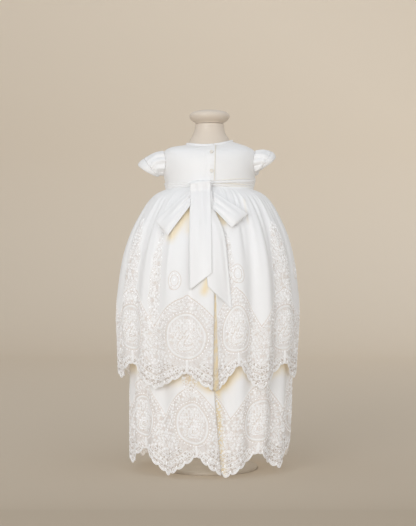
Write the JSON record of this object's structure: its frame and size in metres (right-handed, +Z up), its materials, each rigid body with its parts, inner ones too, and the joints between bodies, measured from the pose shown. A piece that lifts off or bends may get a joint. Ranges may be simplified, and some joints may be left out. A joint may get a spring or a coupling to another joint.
{
  "type": "christening gown on a dress form",
  "caption": "White satin christening gown with lace tiers, cap sleeves, a buttoned back and a sash bow, on an infant dress form",
  "frame": {"origin": "centre of the underside of the stand's base, on the surface that it stands on", "axes": "+Z up along the pole; -Y is the gown's back, with its buttons and bow; +X is the wearer's right"},
  "size_m": [0.327, 0.2919, 0.643],
  "materials": {
    "satin": "white satin with a soft sheen",
    "tulle": "fine tulle with raised lace embroidery and small sequins at the hem",
    "lace": "ivory corded lace on net, with a scalloped edge",
    "pearl": "pearl buttons",
    "form": "smooth beige dress form",
    "stand": "beige painted steel"
  },
  "bodies": {
    "root": {"bodice_front": "satin", "bodice_back_left": "satin", "bodice_back_right": "satin", "button_placket": "satin", "neck_binding": "satin", "sleeve_left": "satin", "sleeve_right": "satin", "cuff_left": "satin", "cuff_right": "satin", "sash_band": "satin", "sash_knot": "satin", "sash_tail_left": "satin", "sash_tail_right": "satin", "bow_loop_left": "satin", "bow_loop_right": "satin", "underskirt_front": "satin", "underskirt_back_left": "satin", "underskirt_back_right": "satin", "overskirt_front": "tulle", "overskirt_back_left": "tulle", "overskirt_back_right": "tulle", "lower_tier_front": "lace", "lower_tier_back_left": "lace", "lower_tier_back_right": "lace", "button_upper": "pearl", "button_lower": "pearl", "form_torso": "form", "form_neck_cap": "form", "stand_pole": "stand", "stand_base": "stand"}
  },
  "joints": []
}
